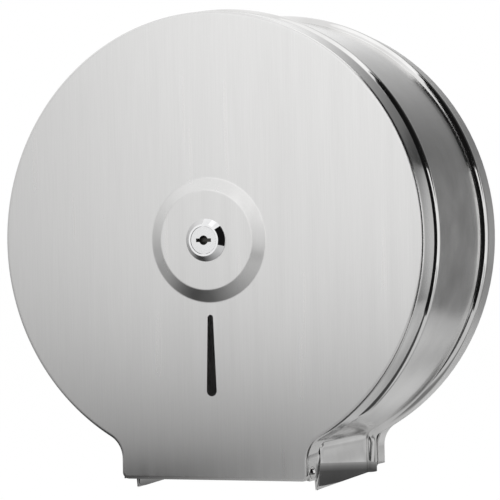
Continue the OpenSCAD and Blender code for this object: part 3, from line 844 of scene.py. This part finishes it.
def seen_directly(tree):
    """One for a ray that shows the background: to the camera, by a reflection, or through glass."""
    path = add_node(tree, "ShaderNodeLightPath")
    seen = path.outputs["Is Camera Ray"]
    for kind in ("Is Glossy Ray", "Is Transmission Ray"):
        either = add_node(tree, "ShaderNodeMath", operation="MAXIMUM")
        tree.links.new(seen, either.inputs[0])
        tree.links.new(path.outputs[kind], either.inputs[1])
        seen = either.outputs["Value"]
    return seen


def even_light(tree, level):
    """White light from all round."""
    light = add_node(tree, "ShaderNodeBackground")
    light.inputs["Color"].default_value = WHITE
    light.inputs["Strength"].default_value = level
    return light.outputs["Background"]


def make_world():
    """White where it is seen, and a soft even light on the object."""
    world = bpy.data.worlds.new("studio")
    scene.world = world
    world.use_nodes = True
    tree = world.node_tree
    tree.nodes.clear()
    output = add_node(tree, "ShaderNodeOutputWorld")
    choice = add_node(tree, "ShaderNodeMixShader")
    tree.links.new(seen_directly(tree), choice.inputs["Fac"])
    tree.links.new(even_light(tree, AMBIENT_LEVEL), choice.inputs[1])
    tree.links.new(even_light(tree, BACKGROUND_LEVEL), choice.inputs[2])
    tree.links.new(choice.outputs["Shader"], output.inputs["Surface"])


def floor_paper():
    """Pale paper that shows white where it is lit and keeps the object's shadow."""
    material, tree, output = new_material("floor_paper")
    paper = add_node(tree, "ShaderNodeBsdfDiffuse")
    paper.inputs["Color"].default_value = FLOOR_TONE
    glow = add_node(tree, "ShaderNodeEmission")
    glow.inputs["Color"].default_value = WHITE
    strength = add_node(tree, "ShaderNodeMath", operation="MULTIPLY")
    strength.inputs[1].default_value = FLOOR_GLOW
    tree.links.new(seen_directly(tree), strength.inputs[0])
    tree.links.new(strength.outputs["Value"], glow.inputs["Strength"])
    both = add_node(tree, "ShaderNodeAddShader")
    tree.links.new(paper.outputs["BSDF"], both.inputs[0])
    tree.links.new(glow.outputs["Emission"], both.inputs[1])
    tree.links.new(both.outputs["Shader"], output.inputs["Surface"])
    return material


def flat_sheet(name, width, height, finish):
    """A flat sheet about its own middle, facing its own +Z."""
    shape = bmesh.new()
    bmesh.ops.create_grid(shape, x_segments=1, y_segments=1, size=0.5)
    bmesh.ops.scale(shape, vec=(width, height, 1.0), verts=shape.verts)
    mesh = bpy.data.meshes.new(name)
    shape.to_mesh(mesh)
    shape.free()
    mesh.materials.append(finish)
    sheet = bpy.data.objects.new(name, mesh)
    scene.collection.objects.link(sheet)
    return sheet


def make_floor():
    """The floor, far enough below the case for the open cover to hang clear of it."""
    floor = flat_sheet("floor", FLOOR_SIZE, FLOOR_SIZE, floor_paper())
    floor.location = (0.0, 0.0, FOOT_Z - FLOOR_DROP)


def soft_box(name, azimuth, rise, distance, width, height, level):
    """A soft box of a given brightness, aimed at the object. Azimuth runs from the front to the right."""
    turn = math.radians(azimuth)
    lift = math.radians(rise)
    away = Vector((math.sin(turn) * math.cos(lift), -math.cos(turn) * math.cos(lift), math.sin(lift)))
    data = bpy.data.lights.new(name, "AREA")
    data.shape = "RECTANGLE"
    data.size = width
    data.size_y = height
    data.energy = level * math.pi * width * height
    lamp = bpy.data.objects.new(name, data)
    place = Matrix.Translation(OBJECT_MIDDLE + away * distance)
    lamp.matrix_world = place @ away.to_track_quat("Z", "Y").to_matrix().to_4x4()
    lamp.visible_camera = False
    lamp.visible_glossy = False
    scene.collection.objects.link(lamp)


# ---------------------------------------------------------------- cards
# A card's stops are pairs of a place on it, in metres from its middle, and a tone.

FACING_BACK = Matrix(((1, 0, 0), (0, 0, 1), (0, 1, 0)))
FACING_SIDE = Matrix(((0, 0, 1), (1, 0, 0), (0, 1, 0)))
LYING_FLAT = Matrix.Identity(3)
CARD_LIFT = 0.0005
FLAG_TONE = 0.008

FRONT_BOARD_PLAN = (-0.20, -0.53)
FRONT_BOARD_SIZE = (1.10, 0.60)
FRONT_BOARD_LEVEL = 1.19
FRONT_BOARD_UP = (
    (-0.30, 0.28), (-0.28, 0.42), (-0.265, 0.53), (-0.25, 0.61), (-0.205, 0.75),
    (-0.153, 0.83), (-0.094, 0.87), (-0.02, 0.93), (0.05, 0.985), (0.30, 1.0),
)
FRONT_BOARD_ACROSS = ((-0.55, 0.50), (-0.106, 0.71), (-0.07, 0.85), (-0.03, 0.94), (0.02, 1.0), (0.55, 1.0))
LEFT_BOARD_PLAN = (-0.76, -0.12)
LEFT_BOARD_SIZE = (0.80, 0.75)
LEFT_BOARD_UP = ((-0.375, 0.42), (-0.225, 0.58), (0.05, 0.86), (0.375, 1.0))

RIGHT_FLAG_PLAN = (0.62, -0.285)
RIGHT_FLAG_SIZE = (0.49, 1.10)
SIDE_FLAG_PLAN = (0.62, 0.21)
SIDE_FLAG_SIZE = (0.50, 0.95)
SIDE_FLAG_BOTTOM = 0.25
FLAG_FOOT_PLAN = (0.47, -0.285)
FLAG_FOOT_SIZE = (0.30, 0.49)
FRONT_FLAG_PLAN = (0.535, -0.53)
FRONT_FLAG_SIZE = (0.19, 0.90)

BACK_CARD_PLAN = (0.27, 0.315)
BACK_CARD_SIZE = (0.72, 0.62)
BACK_CARD_ACROSS = (
    (-0.36, 1.0), (-0.31, 0.89), (-0.25, 0.67), (-0.20, 0.51), (-0.12, 0.31), (-0.06, 0.20),
    (0.03, 0.20), (0.045, 0.28), (0.065, 0.50), (0.10, 0.72), (0.20, 0.85), (0.36, 0.9),
)
BACK_FLAG_PLAN = (0.55, 0.30)
BACK_FLAG_SIZE = (0.60, 0.50)
BACK_FLAG_BOTTOM = 0.155
BACK_FLAG_ACROSS = ((-0.30, 0.11), (-0.26, 0.07), (-0.22, 0.035), (0.30, 0.03))
HIGH_FLAG_PLAN = (0.70, 0.30)
HIGH_FLAG_SIZE = (0.52, 0.62)
HIGH_FLAG_BOTTOM = 0.64

TOP_CARD_PLACE = (0.24, 0.06, 0.90)
TOP_CARD_SIZE = (0.56, 0.80)
TOP_CARD_LEVEL = 1.2

# The table card lies level with the foot, where only reflections see it. Its tone is a painted shadow of the
# case: darkest about its middle, in front of the case and to its left, and lighter outward and toward the
# right.
TABLE_CARD_PLAN = (-0.10, -0.20)
TABLE_CARD_SIZE = (1.2, 1.2)
TABLE_CARD_STRETCH = 1.7
TABLE_CARD_SHADOW = (
    (0.0, 0.03), (0.037, 0.05), (0.057, 0.10), (0.075, 0.18), (0.12, 0.34),
    (0.188, 0.52), (0.265, 0.64), (0.5, 0.68), (0.9, 0.68),
)
TABLE_CARD_ACROSS = ((-0.6, 0.5), (-0.33, 0.62), (-0.07, 0.80), (0.02, 0.95), (0.10, 1.0), (0.6, 1.0))
# The back table card, seen only in reflections, carries a painted shadow of the case: darkest just behind it,
# with a dimmer band from 0.125 to 0.145 m across. Its tone also falls away from the case.
BACK_TABLE_PLAN = (0.0, 0.1725)
BACK_TABLE_SIZE = (1.6, 0.285)
BACK_TABLE_ACROSS = (
    (-0.8, 0.60), (0.03, 0.45), (0.055, 0.65), (0.08, 0.98), (0.10, 1.0),
    (0.125, 0.80), (0.145, 0.80), (0.165, 1.0), (0.8, 1.0),
)
BACK_TABLE_UP = ((-0.1425, 0.64), (-0.05, 0.64), (-0.01, 0.62), (0.07, 0.52), (0.1425, 0.46))
RIM_SHADE_PLAN = (0.197, 0.066)
RIM_SHADE_SIZE = (0.30, 0.066)
RIM_SHADE_TURN = math.radians(51)
RIM_SHADE_UP = ((-0.033, 0.50), (-0.015, 0.22), (0.013, 0.22), (0.033, 0.55))
BEAD_SHADE_PLAN = (0.205, -0.145)
BEAD_SHADE_SIZE = (0.25, 0.085)
BEAD_SHADE_TURN = math.radians(-14)
BEAD_SHADE_TONE = 0.07

# The leg flag stands low beside the leg, where only reflections see it. It is painted shade of the table next
# to the leg, darkest at its lower edge.
LEG_FLAG_PLACE = (0.0645, -0.047, -0.1482)
LEG_FLAG_SIZE = (0.118, 0.018)
LEG_FLAG_LEAN = math.radians(-4)
LEG_SHADE_UP = ((-0.009, 0.05), (0.004, 0.08), (0.007, 0.20), (0.009, 0.36))


def plain(tone):
    """The stops of a card of one tone, whatever its size."""
    return (-1.0, tone), (1.0, tone)


def tone_ramp(tree, value, stops):
    """A card's tone along one direction."""
    start = stops[0][0]
    end = stops[-1][0]
    ramp = add_node(tree, "ShaderNodeValToRGB")
    tones = ramp.color_ramp.elements
    while len(tones) < len(stops):
        tones.new(0.5)
    for tone, (place, level) in zip(tones, stops):
        tone.position = (place - start) / (end - start)
        tone.color = (level, level, level, 1.0)
    tree.links.new(spread(tree, value, 0.0, 1.0, start, end), ramp.inputs["Fac"])
    return ramp.outputs["Color"]


def card_paint(name, across, upward, outward, level):
    """Glowing paint whose tone runs across a card, up it and out from its middle, as its stops say."""
    material, tree, output = new_material(name)
    place = add_node(tree, "ShaderNodeTexCoord").outputs["Object"]
    split = add_node(tree, "ShaderNodeSeparateXYZ")
    tree.links.new(place, split.inputs["Vector"])
    length = add_node(tree, "ShaderNodeVectorMath", operation="LENGTH")
    tree.links.new(place, length.inputs[0])
    runs = (
        (across, split.outputs["X"]),
        (upward, split.outputs["Y"]),
        (outward, length.outputs["Value"]),
    )
    tones = [tone_ramp(tree, value, stops) for stops, value in runs if stops]
    tone = tones[0]
    for other in tones[1:]:
        both = add_node(tree, "ShaderNodeMix", data_type="RGBA", blend_type="MULTIPLY")
        both.inputs["Factor"].default_value = 1.0
        tree.links.new(tone, both.inputs["A"])
        tree.links.new(other, both.inputs["B"])
        tone = both.outputs["Result"]
    glow = add_node(tree, "ShaderNodeEmission")
    glow.inputs["Strength"].default_value = level
    tree.links.new(tone, glow.inputs["Color"])
    tree.links.new(glow.outputs["Emission"], output.inputs["Surface"])
    return material


def card(name, place, turn, size, across=None, upward=None, outward=None, level=1.0, stretch=1.0):
    """A sheet of toned card that only reflections see."""
    sheet = flat_sheet(name, *size, card_paint(name + "_paint", across, upward, outward, level))
    sheet.matrix_world = Matrix.Translation(place) @ turn.to_4x4() @ Matrix.Diagonal((1.0, stretch, 1.0, 1.0))
    sheet.visible_camera = False
    sheet.visible_diffuse = False
    sheet.visible_shadow = False
    sheet.visible_transmission = False


def standing_card(name, plan, turn, size, bottom=FOOT_Z, **looks):
    """A card that stands on its lower edge, over a place on the floor's plan."""
    card(name, (*plan, bottom + size[1] / 2), turn, size, **looks)


def lying_card(name, plan, layer, size, turn=0.0, **looks):
    """A card that lies level with the foot, in layers that don't touch."""
    card(name, (*plan, FOOT_Z + layer * CARD_LIFT), Matrix.Rotation(turn, 3, "Z"), size, **looks)


def make_cards():
    """The cards and black flags that shape the reflections in the steel. Some of the lying cards carry a
    painted shadow of the case.
    """
    black = plain(FLAG_TONE)
    standing_card("front_board", FRONT_BOARD_PLAN, FACING_BACK, FRONT_BOARD_SIZE,
                  across=FRONT_BOARD_ACROSS, upward=FRONT_BOARD_UP, level=FRONT_BOARD_LEVEL)
    standing_card("left_board", LEFT_BOARD_PLAN, FACING_SIDE, LEFT_BOARD_SIZE, upward=LEFT_BOARD_UP)
    standing_card("right_flag", RIGHT_FLAG_PLAN, FACING_SIDE, RIGHT_FLAG_SIZE, upward=black)
    standing_card("side_flag", SIDE_FLAG_PLAN, FACING_SIDE, SIDE_FLAG_SIZE, SIDE_FLAG_BOTTOM, upward=black)
    lying_card("flag_foot", FLAG_FOOT_PLAN, 2, FLAG_FOOT_SIZE, upward=black)
    standing_card("back_card", BACK_CARD_PLAN, FACING_BACK, BACK_CARD_SIZE, across=BACK_CARD_ACROSS)
    standing_card("back_flag", BACK_FLAG_PLAN, FACING_BACK, BACK_FLAG_SIZE, BACK_FLAG_BOTTOM,
                  across=BACK_FLAG_ACROSS)
    standing_card("high_flag", HIGH_FLAG_PLAN, FACING_BACK, HIGH_FLAG_SIZE, HIGH_FLAG_BOTTOM, upward=black)
    standing_card("front_flag", FRONT_FLAG_PLAN, FACING_BACK, FRONT_FLAG_SIZE, upward=black)
    card("top_card", TOP_CARD_PLACE, LYING_FLAT, TOP_CARD_SIZE, upward=plain(1.0), level=TOP_CARD_LEVEL)
    lying_card("shadowed_table_card", TABLE_CARD_PLAN, 1, TABLE_CARD_SIZE,
               across=TABLE_CARD_ACROSS, outward=TABLE_CARD_SHADOW, stretch=TABLE_CARD_STRETCH)
    lying_card("back_table", BACK_TABLE_PLAN, 2, BACK_TABLE_SIZE,
               across=BACK_TABLE_ACROSS, upward=BACK_TABLE_UP)
    lying_card("rim_shade", RIM_SHADE_PLAN, 3, RIM_SHADE_SIZE, RIM_SHADE_TURN, upward=RIM_SHADE_UP)
    lying_card("bead_shade", BEAD_SHADE_PLAN, 4, BEAD_SHADE_SIZE, BEAD_SHADE_TURN,
               upward=plain(BEAD_SHADE_TONE))
    card("leg_shade_flag", LEG_FLAG_PLACE, Matrix.Rotation(LEG_FLAG_LEAN, 3, "X") @ FACING_SIDE, LEG_FLAG_SIZE,
         upward=LEG_SHADE_UP)


# ---------------------------------------------------------------- all together


scene.view_settings.view_transform = "Standard"
make_camera()
finishes = dress_cad_nodes()
front_cover_piece(finishes["cover_steel"])
drum_piece(finishes["drum_steel"])
make_world()
make_floor()
make_cards()
soft_box("top_box", **TOP_BOX)
soft_box("right_box", **RIGHT_BOX)
